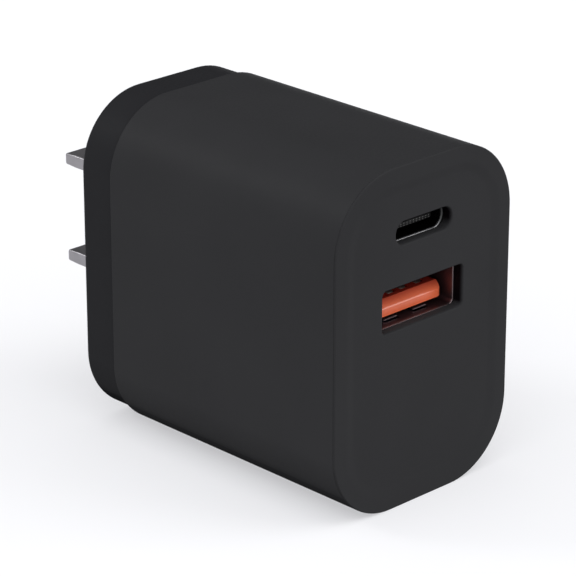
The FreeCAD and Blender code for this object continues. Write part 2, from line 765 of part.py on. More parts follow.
def make_transformer():
    """Core halves, a bobbin with two nested windings, and the pin base on the board."""
    make_core_half("transformer_core_lower", "core_foot", False)
    make_core_half("transformer_core_upper", "(core_foot + 2 * core_half)", True)
    body = new_body("transformer_base")
    base = rounded(body, "pin_base", "YZ_Plane", "core_depth", "core_height", "base_round",
                   ("-core_place", "core_level", BOARD_FACE))
    pad(body, base, f"core_foot - {BOARD_FACE}")
    low = "core_foot + core_plate + bobbin_slack"
    high = "core_foot + 2 * core_half - core_plate - bobbin_slack"
    bore = "core_post + bobbin_slack"
    tube = f"{bore} + bobbin_wall"
    shift = ("0", "-core_place", "core_level")
    body = new_body("transformer_bobbin")
    spool = [(low, bore), (high, bore), (high, "bobbin_flange"),
             (f"{high} - bobbin_wall", "bobbin_flange"), (f"{high} - bobbin_wall", tube),
             (f"{low} + bobbin_wall", tube), (f"{low} + bobbin_wall", "bobbin_flange"),
             (low, "bobbin_flange")]
    turn(body, polygon(body, "spool", "XY_Plane", spool, shift), "H_Axis")
    left = f"{low} + bobbin_wall + winding_slack"
    right = f"{high} - bobbin_wall - winding_slack"
    layers = (("primary_winding", f"{tube} + winding_slack", "primary_outer"),
              ("secondary_winding", "primary_outer + winding_slack", "secondary_outer"))
    for name, inner, outer in layers:
        body = new_body(name)
        layer = [(left, inner), (right, inner), (right, outer), (left, outer)]
        turn(body, polygon(body, name + "_section", "XY_Plane", layer, shift), "H_Axis")


def make_capacitors():
    """Storage cans over the board, a disc across the barrier, output cans beside the wide port."""
    for name, level in (("bulk_capacitor_lower", "bulk_low"), ("bulk_capacitor_upper", "bulk_high")):
        make_can(name, "bulk_radius", "bulk_length", "H_Axis", (BOARD_FACE, "-bulk_place", level))
    for name, level in (("output_capacitor_lower", "output_low"),
                        ("output_capacitor_upper", "output_high")):
        make_can(name, "output_radius", "output_length", "V_Axis",
                 ("output_place", f"-{PORT_BOARD_FRONT} - output_length", level))
    body = new_body("y_capacitor")
    disc = circle(body, "y_capacitor_disc", "XZ_Plane", "disc_radius",
                  (f"{BOARD_FACE} + disc_radius", "disc_level", "disc_place"))
    pad(body, disc, "disc_thick")
    chips = [block(f"ceramic_{number + 1}",
                   ("board_back - ceramic_width", f"{number} * ceramic_pitch - ceramic_start",
                    "ceramic_level"),
                   ("ceramic_width", "ceramic_width", "ceramic_height"), keep=False)
             for number in range(6)]
    group("ceramic_capacitors", chips)


def make_sheets():
    """The insulating film behind the main board, the heat spreader and its soft pad."""
    block("insulation_film", ("film_place", "-board_front_end", "-film_height / 2"),
          ("film_thick", "board_front_end - board_rear_end", "film_height"))
    make_heat_spreader()
    block("thermal_pad",
          ("core_foot + 2 * core_half", "-core_place - soft_pad_length / 2", "soft_pad_low"),
          ("spreader_place - core_foot - 2 * core_half", "soft_pad_length", "soft_pad_height"))


# ---------------------------------------------------------------- whole charger

def check_model():
    """Stop if any object failed or any sub-part has no valid solid."""
    doc.recompute()
    for item in doc.Objects:
        if {"Invalid", "Error"} & set(item.State):
            raise RuntimeError(f"{item.Label}: {item.State}")
    for node in nodes:
        if node.Shape.isNull() or not node.Shape.isValid() or not node.Shape.Solids:
            raise RuntimeError(f"{node.Label} has no valid solid")


def write_parts():
    os.makedirs("parts", exist_ok=True)
    for node in nodes:
        node.Shape.exportStep(f"parts/{node.Label}.step")
        print(f"{node.Label}: {len(node.Shape.Solids)} solid, {node.Shape.Volume:.2f} mm3")


make_sheet()
make_main_housing()
make_rear_cover()
for blade_side, blade_level in blade_levels():
    make_blade(blade_side, blade_level)
    make_leaf(blade_side, blade_level)
make_main_board()
make_port_board()
make_usb_a_shell()
make_usb_a_insulator()
for contact_number, contact_place in enumerate(CONTACTS, start=1):
    make_usb_a_contact(contact_number, contact_place)
make_usb_c_shell()
make_usb_c_insulator()
make_usb_c_contacts()
for board_part in BOARD_PARTS:
    make_board_part(board_part)
make_capacitors()
make_choke()
make_transformer()
make_sheets()
check_model()
write_parts()
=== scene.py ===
"""Looks of the USB wall charger: visible shells, blades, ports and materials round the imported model."""
import json
import math

import bmesh
import bpy
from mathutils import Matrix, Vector


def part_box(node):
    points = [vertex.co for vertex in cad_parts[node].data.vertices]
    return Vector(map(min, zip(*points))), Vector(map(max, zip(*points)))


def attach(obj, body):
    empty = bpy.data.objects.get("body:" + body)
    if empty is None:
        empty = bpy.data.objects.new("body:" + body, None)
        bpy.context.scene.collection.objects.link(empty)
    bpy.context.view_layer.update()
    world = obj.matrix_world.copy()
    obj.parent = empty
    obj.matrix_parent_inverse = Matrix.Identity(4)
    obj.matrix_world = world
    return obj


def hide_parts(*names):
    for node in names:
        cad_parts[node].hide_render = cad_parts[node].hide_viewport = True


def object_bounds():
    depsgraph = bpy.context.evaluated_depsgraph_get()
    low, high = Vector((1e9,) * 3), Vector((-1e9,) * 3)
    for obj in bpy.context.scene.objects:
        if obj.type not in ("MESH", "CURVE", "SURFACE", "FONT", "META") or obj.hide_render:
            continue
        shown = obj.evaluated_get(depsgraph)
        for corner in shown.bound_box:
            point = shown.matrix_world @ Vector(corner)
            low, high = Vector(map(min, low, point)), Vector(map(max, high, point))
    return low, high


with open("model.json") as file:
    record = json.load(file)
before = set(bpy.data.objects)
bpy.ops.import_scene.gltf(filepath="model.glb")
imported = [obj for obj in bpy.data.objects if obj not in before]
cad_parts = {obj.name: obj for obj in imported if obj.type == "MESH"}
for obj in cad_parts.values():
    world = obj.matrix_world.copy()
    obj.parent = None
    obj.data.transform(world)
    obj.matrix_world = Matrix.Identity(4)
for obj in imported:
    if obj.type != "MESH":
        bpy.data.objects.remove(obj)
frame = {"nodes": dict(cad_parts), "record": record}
cad_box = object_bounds()

MM = 0.001
ROOT = "charger"
CORNER_STEPS = 20

# case, as named on the design sheet
BODY_RADIUS = 9.0 * MM
WALL = 2.0 * MM
FRONT_WALL = 2.1 * MM
FRONT_ROUND = 0.15 * MM
SEAM_ROUND = 0.15 * MM
FIELD_DROP = 0.15 * MM
FIELD_START = 1.6 * MM
FIELD_END = 3.3 * MM
FINE_LINE = (0.06 * MM, 0.07 * MM)
COVER_ROUND = 0.65 * MM
COVER_GROOVE = 0.15 * MM
COVER_FLOOR = 2.5 * MM
COVER_RADIUS = 8.9 * MM
SPIGOT_INSET = 2.1 * MM
SPIGOT_WALL = 1.0 * MM
BOSS = (9.0 * MM, 4.5 * MM, 0.8 * MM)
BOSS_HEIGHT = 2.0 * MM
FACE_MARGIN = 0.3 * MM  # flat strip next to an edge, which keeps the edge's shading narrow

# ports: width, height and corner radius of each window, then the shells
WINDOW_A = (12.8 * MM, 5.0 * MM, 0.55 * MM)
WINDOW_C = (8.8 * MM, 2.6 * MM, 1.25 * MM)
WINDOW_BEVEL = (0.22 * MM, 0.45 * MM)
PORT_LIP = 1.4 * MM
SEAT_GAP = 0.1 * MM
SHELL_WALL = 0.3 * MM
SHELL_A_ROUND = 0.9 * MM
SHELL_C_ROUND = 1.55 * MM
TONGUE_A = (11.1 * MM, 1.84 * MM, 0.15 * MM)
TONGUE_A_GAP = 0.72 * MM
SLOT_WIDTH = 1.2 * MM
TAB_WIDTH = 2.1 * MM
TAB_PLACE = 2.35 * MM
BASE_A_LENGTH = 2.2 * MM
TONGUE_C = (6.69 * MM, 0.7 * MM, 0.12 * MM)


# ---------------------------------------------------------------- shapes

def loop(size, depth, middle=(0.0, 0.0), inset=0.0, steps=CORNER_STEPS):
    """A rounded rectangle at the depth Y, drawn inwards by inset; size is width, height, radius."""
    half_width = size[0] / 2 - inset
    half_height = size[1] / 2 - inset
    radius = max(size[2] - inset, 0.01 * MM)
    points = []
    for corner in range(4):
        side_x = 1 if corner in (0, 3) else -1
        side_z = 1 if corner in (0, 1) else -1
        centre_x = side_x * (half_width - radius)
        centre_z = side_z * (half_height - radius)
        for step in range(steps + 1):
            angle = math.radians(90 * (corner + step / steps))
            points.append(Vector((middle[0] + centre_x + radius * math.cos(angle), depth,
                                  middle[1] + centre_z + radius * math.sin(angle))))
    return points


def arc(centre, radius, start, end, steps=5):
    """Points (inset, depth) of an arc; angles in degrees."""
    angles = [math.radians(start + (end - start) * step / steps) for step in range(steps + 1)]
    return [(centre[0] + radius * math.cos(angle), centre[1] + radius * math.sin(angle))
            for angle in angles]


def ring(mesh, points):
    return [mesh.verts.new(point) for point in points]


def bridge(mesh, first, second):
    """Faces between two rings of the same length."""
    count = len(first)
    for number in range(count):
        following = (number + 1) % count
        mesh.faces.new((first[number], first[following], second[following], second[number]))


def loft(mesh, outlines):
    """Rings for all outlines, joined one to the next; returns the first and the last ring."""
    rings = [ring(mesh, outline) for outline in outlines]
    for first, second in zip(rings, rings[1:]):
        bridge(mesh, first, second)
    return rings[0], rings[-1]


def fill_between(mesh, rings):
    """A flat face bounded by an outer ring and any inner ones."""
    edges = []
    for points in rings:
        count = len(points)
        for number in range(count):
            edges.append(mesh.edges.get((points[number], points[(number + 1) % count])))
    bmesh.ops.triangle_fill(mesh, use_beauty=True, use_dissolve=False, edges=edges)


def smooth(data, angle=35):
    """Smooth shading except across edges sharper than the angle in degrees."""
    data.polygons.foreach_set("use_smooth", [True] * len(data.polygons))
    data.set_sharp_from_angle(angle=math.radians(angle))


def make_object(name, mesh, angle=35):
    """The finished mesh as an object that is smooth except across sharp edges."""
    bmesh.ops.remove_doubles(mesh, verts=mesh.verts, dist=0.0005 * MM)
    bmesh.ops.recalc_face_normals(mesh, faces=mesh.faces)
    data = bpy.data.meshes.new(name)
    mesh.to_mesh(data)
    mesh.free()
    smooth(data, angle)
    thing = bpy.data.objects.new(name, data)
    bpy.context.scene.collection.objects.link(thing)
    return thing


def weigh_normals(thing):
    """Large flat faces keep flat shading right up to their rounded edges."""
    modifier = thing.modifiers.new("weighted_normals", "WEIGHTED_NORMAL")
    modifier.keep_sharp = True


def cut_away(thing, cutter):
    """Subtract the cutter from the piece and delete the cutter."""
    modifier = thing.modifiers.new("cut", "BOOLEAN")
    modifier.operation = "DIFFERENCE"
    modifier.solver = "EXACT"
    modifier.object = cutter
    graph = bpy.context.evaluated_depsgraph_get()
    carved = bpy.data.meshes.new_from_object(thing.evaluated_get(graph))
    thing.modifiers.remove(modifier)
    thing.data = carved
    bpy.data.objects.remove(cutter)
    smooth(thing.data)


def slab(mesh, low, high, bevel, radius=None):
    """A block with slightly rounded edges added to the mesh; radius rounds its long edges more."""
    size = (high[0] - low[0], high[2] - low[2], radius or bevel)
    middle = ((low[0] + high[0]) / 2, (low[2] + high[2]) / 2)
    outlines = [loop(size, low[1], middle, bevel, 4), loop(size, low[1] + bevel, middle, 0, 4),
                loop(size, high[1] - bevel, middle, 0, 4), loop(size, high[1], middle, bevel, 4)]
    first, last = loft(mesh, outlines)
    mesh.faces.new(first)
    mesh.faces.new(last)


def place_piece(thing, node, material, body=ROOT):
    """Give a piece its material, its body and the CAD node that it stands for."""
    thing.data.materials.clear()
    thing.data.materials.append(material)
    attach(thing, body)
    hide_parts(node)
    return thing


# ---------------------------------------------------------------- case

def size_of(node):
    """Width, depth and height of a CAD node and its middle."""
    low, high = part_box(node)
    return high - low, (low + high) / 2


def add_window(mesh, window, shell_node, shell_round, front):
    """A port hole from its softened edge to the shell's seat; returns its front and rear rings."""
    shell, middle = size_of(shell_node)
    place = (middle.x, middle.z)
    seat = (shell.x + 2 * SEAT_GAP, shell.z + 2 * SEAT_GAP, shell_round + SEAT_GAP)
    side, deep = WINDOW_BEVEL
    outlines = [loop(window, front, place, -2 * side)]
    for across, inwards in arc((-1.0, 1.0), 1.0, -90, 0, 6):
        outlines.append(loop(window, front + deep * inwards, place, side * across))
    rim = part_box("main_housing")[0].y
    outlines.append(loop(window, rim + PORT_LIP, place))
    outlines.append(loop(seat, rim + PORT_LIP, place))
    outlines.append(loop(seat, rim + FRONT_WALL, place))
    return loft(mesh, outlines)


def make_housing():
    """The one-piece cup: fine line behind the front edge, shallow sunk field, both port holes."""
    low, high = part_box("main_housing")
    outline = (high.x - low.x, high.z - low.z, BODY_RADIUS)
    rim, rear = low.y, high.y
    field = rim + FIELD_DROP
    profile = [(WALL + FACE_MARGIN, rim + FRONT_WALL), (WALL, rim + FRONT_WALL), (WALL, rear - 0.1 * MM),
               (WALL - 0.1 * MM, rear)]
    profile += arc((SEAM_ROUND, rear - SEAM_ROUND), SEAM_ROUND, 90, 180)
    line = rim + FRONT_ROUND + 0.1 * MM
    deep, half = FINE_LINE
    profile += [(0.0, line + half), (deep, line), (0.0, line - half)]
    profile += arc((FRONT_ROUND, rim + FRONT_ROUND), FRONT_ROUND, 180, 270)
    steps = 14
    for step in range(steps + 1):
        share = step / steps
        fall = share * share * (3 - 2 * share)
        profile.append((FIELD_START + share * (FIELD_END - FIELD_START), rim + fall * FIELD_DROP))
    profile.append((FIELD_END + FACE_MARGIN, field))
    mesh = bmesh.new()
    outlines = [loop(outline, depth, (0, 0), inset) for inset, depth in profile]
    inner, outer = loft(mesh, outlines)
    front_a, rear_a = add_window(mesh, WINDOW_A, "usb_a_shell", SHELL_A_ROUND, field)
    front_c, rear_c = add_window(mesh, WINDOW_C, "usb_c_shell", SHELL_C_ROUND, field)
    fill_between(mesh, [outer, front_a, front_c])
    fill_between(mesh, [inner, rear_a, rear_c])
    piece = make_object("housing", mesh)
    weigh_normals(piece)
    return piece


def make_cover():
    """The rear cap: wall face with a slot round each blade, skirt, spigot and blade bosses."""
    low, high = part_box("rear_cover")
    case_low, case_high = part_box("main_housing")
    case = (case_high.x - case_low.x, case_high.z - case_low.z, BODY_RADIUS)
    outline = (high.x - low.x, high.z - low.z, COVER_RADIUS)
    seam = case_high.y
    rear = high.y
    inner = SPIGOT_INSET + SPIGOT_WALL
    mesh = bmesh.new()
    outlines = [loop(case, depth, (0, 0), inset)
                for inset, depth in ((inner + FACE_MARGIN, rear - COVER_FLOOR), (inner, rear - COVER_FLOOR),
                                     (inner, low.y), (SPIGOT_INSET, low.y), (SPIGOT_INSET, seam))]
    profile = [(COVER_GROOVE, seam), (0.0, seam + COVER_GROOVE)]
    profile += arc((COVER_ROUND, rear - COVER_ROUND), COVER_ROUND, 180, 90, 8)
    profile.append((COVER_ROUND + FACE_MARGIN, rear))
    outlines += [loop(outline, depth, (0, 0), inset) for inset, depth in profile]
    floor_ring, face_ring = loft(mesh, outlines)
    inside, outside = [floor_ring], [face_ring]
    for side in ("upper", "lower"):
        blade, middle = size_of(f"{side}_blade")
        place = (middle.x, middle.z)
        slot = (blade.x, blade.z, 0.05 * MM)
        top = rear - COVER_FLOOR - BOSS_HEIGHT
        base, boss_top = loft(mesh, [loop(BOSS, rear - COVER_FLOOR, place), loop(BOSS, top, place)])
        bevel = 0.1 * MM
        slot_top, slot_face = loft(mesh, [loop(slot, top, place), loop(slot, rear - bevel, place),
                                          loop(slot, rear, place, -bevel),
                                          loop(slot, rear, place, -3 * bevel)])
        fill_between(mesh, [boss_top, slot_top])
        inside.append(base)
        outside.append(slot_face)
    fill_between(mesh, inside)
    fill_between(mesh, outside)
    piece = make_object("cover", mesh)
    weigh_normals(piece)
    return piece


def make_blade(side):
    """A stamped blade with broken edges that thins to a softly rounded tip."""
    low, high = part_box(f"{side}_blade")
    middle = ((low.x + high.x) / 2, (low.z + high.z) / 2)
    width, thick = high.x - low.x, high.z - low.z
    tip_thick, taper, tip_round, tip_soft, edge = 1.4 * MM, 2.0 * MM, 0.4 * MM, 0.35 * MM, 0.2 * MM
    outlines = [loop((width, thick, edge), low.y, middle, edge / 2, 4),
                loop((width, thick, edge), low.y + edge, middle, 0, 4),
                loop((width, thick, edge), high.y - taper, middle, 0, 4)]
    for step in range(11):
        angle = math.radians(90 * step / 10)
        back = tip_round * (1 - math.sin(angle))
        pinch = tip_round * (1 - math.cos(angle))
        thinning = 2 * tip_soft * (1 - math.cos(angle))
        height = tip_thick + (thick - tip_thick) * back / taper - thinning
        outlines.append(loop((width - 2 * pinch, height, edge), high.y - back, middle, 0, 4))
    mesh = bmesh.new()
    first, last = loft(mesh, outlines)
    mesh.faces.new(first)
    mesh.faces.new(last)
    piece = make_object(f"blade_{side}", mesh, 50)
    weigh_normals(piece)
    return piece


# ---------------------------------------------------------------- ports

def tube(mesh, outer, front, rear, middle, outside, inside):
    """An open shell whose front rim is rounded with the radii outside and inside."""
    wall = SHELL_WALL
    inner = (outer[0] - 2 * wall, outer[1] - 2 * wall, outer[2] - wall)
    outlines = [loop(outer, rear, middle)]
    for inset, depth in arc((outside, front + outside), outside, 180, 270, 4):
        outlines.append(loop(outer, depth, middle, inset))
    for inset, depth in arc((-inside, front + inside), inside, -90, 0, 8):
        outlines.append(loop(inner, depth, middle, inset))
    outlines.append(loop(inner, rear, middle))
    first, last = loft(mesh, outlines)
    bridge(mesh, last, first)


def make_shell_a():
    """The wide port's shell with a spring tab in each of its four windows."""
    low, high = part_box("usb_a_shell")
    middle = ((low.x + high.x) / 2, (low.z + high.z) / 2)
    mesh = bmesh.new()
    tube(mesh, (high.x - low.x, high.z - low.z, SHELL_A_ROUND), low.y, high.y, middle,
         0.1 * MM, 0.1 * MM)
    shell = make_object("port_a_shell", mesh)
    window_front, window_rear = low.y + 1.1 * MM, low.y + 6.5 * MM
    cutters = bmesh.new()
    tabs = bmesh.new()
    for side in (-1, 1):
        place = side * TAB_PLACE
        half = TAB_WIDTH / 2 + 0.15 * MM
        slab(cutters, Vector((place - half, window_front, low.z - MM)),
             Vector((place + half, window_rear, high.z + MM)), 0.05 * MM)
        for level, way in ((low.z, 1), (high.z, -1)):
            add_tab(tabs, place, level, way, window_front, window_rear)
    cut_away(shell, make_object("tab_windows", cutters))
    join(shell, make_object("tabs", tabs))
    return shell


def add_tab(mesh, place, level, way, front, rear):
    """A spring tab that leaves the wall at the rear and bows into the port near the front."""
    steps, bow, thick = 16, 0.30 * MM, 0.15 * MM
    half = TAB_WIDTH / 2
    rows = []
    for step in range(steps + 1):
        share = step / steps
        depth = rear + 0.15 * MM + share * (front + 0.2 * MM - rear)
        rise = bow * math.sin(math.pi / 2 * min(1.0, share / 0.82)) ** 2
        if share > 0.82:
            rise -= 0.2 * bow * ((share - 0.82) / 0.18) ** 2
        near = level + way * (rise + SHELL_WALL)
        far = level + way * (rise + SHELL_WALL - thick)
        rows.append([Vector((place - half, depth, near)), Vector((place + half, depth, near)),
                     Vector((place + half, depth, far)), Vector((place - half, depth, far))])
    first, last = loft(mesh, rows)
    mesh.faces.new(first)
    mesh.faces.new(last)


def join(thing, other):
    """Merge another object's mesh into this one."""
    mesh = bmesh.new()
    mesh.from_mesh(thing.data)
    mesh.from_mesh(other.data)
    mesh.to_mesh(thing.data)
    mesh.free()
    bpy.data.objects.remove(other)
    smooth(thing.data)


def make_tongue_a():
    """The orange moulding: rear block, tongue with rounded nose and chamfer, four contact slots."""
    low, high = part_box("usb_a_insulator")
    shell, shell_middle = size_of("usb_a_shell")
    arm_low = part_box("usb_a_contact_arm_1")[0]
    tongue_low = shell_middle.z - shell.z / 2 + SHELL_WALL + TONGUE_A_GAP
    top = tongue_low + TONGUE_A[1]
    root = high.y - BASE_A_LENGTH
    nose, chamfer, soft = 0.6 * MM, 0.85 * MM, 0.1 * MM
    slot_gap, slot_depth = 0.3 * MM, 1.0 * MM
    outlines = []
    for step in range(13):
        angle = math.radians(90 * step / 12)
        back = nose * (1 - math.cos(angle))
        pinch = nose * (1 - math.sin(angle))
        drop = chamfer - back + max(0.0, soft - back) ** 2 / (2 * soft)
        lift = 0.12 * MM * (1 - math.sin(angle))
        height = TONGUE_A[1] - drop - lift
        centre = tongue_low + lift + height / 2
        outlines.append(loop((TONGUE_A[0] - 2 * pinch, height, TONGUE_A[2]), low.y + back,
                             (0, centre), 0, 6))
    for depth in (low.y + chamfer, root):
        outlines.append(loop(TONGUE_A, depth, (0, tongue_low + TONGUE_A[1] / 2), 0, 6))
    mesh = bmesh.new()
    first, last = loft(mesh, outlines)
    mesh.faces.new(first)
    mesh.faces.new(last)
    tongue = make_object("port_a_tongue", mesh)
    cutters = bmesh.new()
    for number in range(1, 5):
        arm_middle = size_of(f"usb_a_contact_arm_{number}")[1]
        half = SLOT_WIDTH / 2
        slab(cutters, Vector((arm_middle.x - half, arm_low.y - slot_gap, top - slot_depth)),
             Vector((arm_middle.x + half, root + MM, top + MM)), 0.08 * MM)
    cut_away(tongue, make_object("slots", cutters))
    block = bmesh.new()
    slab(block, Vector((low.x, root - 0.01 * MM, low.z)), Vector((high.x, high.y, high.z)), 0.1 * MM,
         SHELL_A_ROUND - SHELL_WALL)
    join(tongue, make_object("rear_block", block))
    weigh_normals(tongue)
    return tongue


def make_arm(number):
    """A spring contact: rolled root, rising blade and a round crown that dips at the tip."""
    low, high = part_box(f"usb_a_contact_arm_{number}")
    root_round, half_thick, edge = 0.2 * MM, 0.125 * MM, 0.06 * MM
    reach, dip = 1.2 * MM, 0.72 * MM
    root = Vector((0, high.y - root_round, low.z + root_round))
    crown = Vector((0, low.y + reach, high.z - half_thick))
    line = [root]
    steps = 10
    for step in range(1, steps + 1):
        share = step / steps
        rise = math.sin(math.pi / 2 * share)
        line.append(Vector((0, root.y + share * (crown.y - root.y),
                            root.z + (0.35 * share + 0.65 * rise) * (crown.z - root.z))))
    for step in range(1, 9):
        angle = math.radians(70 * step / 8)
        line.append(Vector((0, crown.y - reach * math.sin(angle),
                            crown.z - dip * (1 - math.cos(angle)))))
    outlines = []
    for place, point in enumerate(line):
        before = line[max(place - 1, 0)]
        after = line[min(place + 1, len(line) - 1)]
        along = (after - before).normalized()
        up = Vector((0, along.z, -along.y))
        flat = loop((high.x - low.x, 2 * half_thick, edge), 0.0, (0, 0), 0, 3)
        outlines.append([Vector(((low.x + high.x) / 2 + spot.x, point.y, point.z)) + up * spot.z
                         for spot in flat])
    mesh = bmesh.new()
    first, last = loft(mesh, outlines)
    mesh.faces.new(first)
    mesh.faces.new(last)
    turns = 20
    ends = []
    for side in (low.x, high.x):
        ends.append([Vector((side, root.y + root_round * math.cos(2 * math.pi * turn / turns),
                             root.z + root_round * math.sin(2 * math.pi * turn / turns)))
                     for turn in range(turns)])
    first, last = loft(mesh, ends)
    mesh.faces.new(first)
    mesh.faces.new(last)
    return make_object(f"contact_{number}", mesh, 40)


def make_shell_c():
    """The small port's seamless oval shell."""
    low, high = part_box("usb_c_shell")
    middle = ((low.x + high.x) / 2, (low.z + high.z) / 2)
    mesh = bmesh.new()
    tube(mesh, (high.x - low.x, high.z - low.z, SHELL_C_ROUND), low.y, high.y, middle,
         0.03 * MM, 0.26 * MM)
    return make_object("port_c_shell", mesh)


def make_tongue_c():
    """The small port's black moulding: foot, core inside the shell and the thin tongue."""
    low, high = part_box("usb_c_insulator")
    shell_low, shell_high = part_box("usb_c_shell")
    middle = ((low.x + high.x) / 2, (low.z + high.z) / 2)
    foot = (high.x - low.x, high.z - low.z, SHELL_C_ROUND)
    core = (foot[0] - 2 * SHELL_WALL, foot[1] - 2 * SHELL_WALL, foot[2] - SHELL_WALL)
    core_front = shell_high.y - 1.5 * MM
    nose, thinning = 0.5 * MM, 0.25 * MM
    mesh = bmesh.new()
    first, last = loft(mesh, [loop(foot, high.y, middle), loop(foot, shell_high.y, middle),
                              loop(core, shell_high.y, middle), loop(core, core_front + 0.1 * MM, middle),
                              loop(core, core_front, middle, 0.1 * MM)])
    mesh.faces.new(first)
    mesh.faces.new(last)
    outlines = [loop(TONGUE_C, core_front + 0.05 * MM, middle, 0, 4)]
    for step in range(7):
        angle = math.radians(90 * step / 6)
        back = nose * (1 - math.sin(angle))
        pinch = nose * (1 - math.cos(angle))
        thin = thinning * (1 - math.cos(angle))
        outlines.append(loop((TONGUE_C[0] - 2 * pinch, TONGUE_C[1] - thin, TONGUE_C[2]),
                             low.y + back, middle, 0, 4))
    first, last = loft(mesh, outlines)
    mesh.faces.new(first)
    mesh.faces.new(last)
    return make_object("port_c_tongue", mesh)


def make_contacts_c():
    """Two rows of twelve contact strips with their small front ends in the tongue's nose."""
    low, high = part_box("usb_c_contacts")
    tongue_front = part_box("usb_c_insulator")[0].y
    middle = (low.z + high.z) / 2
    count, pitch, half = 12, 0.5 * MM, 0.125 * MM
    sunk, proud = 0.05 * MM, 0.06 * MM
    end_place, end_half, end_height, end_proud = 0.12 * MM, 0.08 * MM, 0.06 * MM, 0.03 * MM
    mesh = bmesh.new()
    for way in (-1, 1):
        for number in range(count):
            place = (number - (count - 1) / 2) * pitch
            face = middle + way * TONGUE_C[1] / 2
            levels = sorted((face - way * sunk, face + way * proud))
            end = middle + way * end_place
            slab(mesh, Vector((place - half, low.y, levels[0])),
                 Vector((place + half, high.y, levels[1])), 0.02 * MM)
            slab(mesh, Vector((place - end_half, tongue_front - end_proud, end - end_height)),
                 Vector((place + end_half, tongue_front + 0.3 * MM, end + end_height)), 0.02 * MM)
    return make_object("port_c_contacts", mesh)


# ---------------------------------------------------------------- materials

# painted shade: how much darker the mouldings are painted where they face the floor; painted highlight: how
# much brighter the shell's cut edges are painted inside
PAINTED_UNDERSIDE_SHADE = 0.68
PAINTED_CUT_EDGE_HIGHLIGHT = 1.5


class Nodes:
    """A material's node tree with short ways to add and join nodes."""

    def __init__(self, name):
        self.material = bpy.data.materials.new(name)
        self.material.use_nodes = True
        self.tree = self.material.node_tree
        self.shader = self.tree.nodes["Principled BSDF"]
        coordinates = self.add("ShaderNodeTexCoord")
        self.place = coordinates.outputs["Object"]
        self.normal = coordinates.outputs["Normal"]

    def add(self, kind, **values):
        node = self.tree.nodes.new(kind)
        for key, value in values.items():
            setattr(node, key, value)
        return node

    def join(self, output, target):
        self.tree.links.new(output, target)

    def noise(self, size, detail=3.0, stretch=(1, 1, 1)):
        """Noise whose features are about size metres across, drawn out by stretch."""
        mapping = self.add("ShaderNodeMapping")
        mapping.inputs["Scale"].default_value = [1 / factor for factor in stretch]
        self.join(self.place, mapping.inputs["Vector"])
        node = self.add("ShaderNodeTexNoise")
        node.inputs["Scale"].default_value = 1 / size
        node.inputs["Detail"].default_value = detail
        self.join(mapping.outputs["Vector"], node.inputs["Vector"])
        return node.outputs["Fac"]

    def spread(self, factor, low, high):
        """A noise's middle range mapped to low..high."""
        return self.ramp(factor, 0.3, 0.7, low, high)

    def mix(self, factor, first, second):
        """Colour between first and second by the factor."""
        node = self.add("ShaderNodeMix", data_type="RGBA")
        node.inputs["A"].default_value = (*first, 1)
        node.inputs["B"].default_value = (*second, 1)
        self.join(factor, node.inputs["Factor"])
        return node.outputs["Result"]

    def blend(self, factor, colour, second):
        """A colour output faded to a second, constant colour by the factor."""
        node = self.add("ShaderNodeMix", data_type="RGBA")
        self.join(colour, node.inputs["A"])
        node.inputs["B"].default_value = (*second, 1)
        self.join(factor, node.inputs["Factor"])
        return node.outputs["Result"]

    def ramp(self, value, start, end, low=0.0, high=1.0):
        """low up to start and high from end on."""
        node = self.add("ShaderNodeMapRange")
        node.inputs["From Min"].default_value = start
        node.inputs["From Max"].default_value = end
        node.inputs["To Min"].default_value = low
        node.inputs["To Max"].default_value = high
        self.join(value, node.inputs["Value"])
        return node.outputs["Result"]

    def distance(self, value, centre):
        """How far the value is from centre."""
        shift = self.add("ShaderNodeMath", operation="SUBTRACT")
        self.join(value, shift.inputs[0])
        shift.inputs[1].default_value = centre
        size = self.add("ShaderNodeMath", operation="ABSOLUTE")
        self.join(shift.outputs["Value"], size.inputs[0])
        return size.outputs["Value"]

    def times(self, first, second):
        node = self.add("ShaderNodeMath", operation="MULTIPLY")
        self.join(first, node.inputs[0])
        self.join(second, node.inputs[1])
        return node.outputs["Value"]

    def facing(self, axis, start, end, low=0.0, high=1.0):
        """low where the surface's normal has start along the axis and high where it has end."""
        parts = self.add("ShaderNodeSeparateXYZ")
        self.join(self.normal, parts.inputs["Vector"])
        return self.ramp(parts.outputs[axis], start, end, low, high)

    def behind(self, start, end):
        """0 at the depth start and 1 at the depth end along Y."""
        parts = self.add("ShaderNodeSeparateXYZ")
        self.join(self.place, parts.inputs["Vector"])
        return self.ramp(parts.outputs["Y"], start, end)

    def port_shade_mask(self):
        """Mask of painted shade: 1 on the upright walls of both port holes, fading out over their rounded
        edges.

        It has no limit to the rear, so it is also 1 on the cover's wall face in line with the ports.
        """
        parts = self.add("ShaderNodeSeparateXYZ")
        self.join(self.place, parts.inputs["Vector"])
        field = cad_box[0].y + FIELD_DROP
        middle = (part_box("usb_a_shell")[0].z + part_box("usb_c_shell")[1].z) / 2
        reach = (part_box("usb_c_shell")[1].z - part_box("usb_a_shell")[0].z) / 2
        depth = self.ramp(parts.outputs["Y"], field, field + WINDOW_BEVEL[1])
        across = self.ramp(self.distance(parts.outputs["X"], 0.0), WINDOW_A[0] / 2 + 0.6 * MM,
                           WINDOW_A[0] / 2 + 0.3 * MM)
        height = self.ramp(self.distance(parts.outputs["Z"], middle), reach + 0.6 * MM,
                           reach + 0.3 * MM)
        upright = self.facing("Z", 0.8, 0.2)
        return self.times(self.times(depth, upright), self.times(across, height))

    def bump(self, factor, height, before=None):
        """Relief of the given height in metres, on top of an earlier relief."""
        node = self.add("ShaderNodeBump")
        node.inputs["Strength"].default_value = 1.0
        node.inputs["Distance"].default_value = height
        self.join(factor, node.inputs["Height"])
        if before:
            self.join(before, node.inputs["Normal"])
        return node.outputs["Normal"]


def shade(colour, factor):
    return tuple(channel * factor for channel in colour)


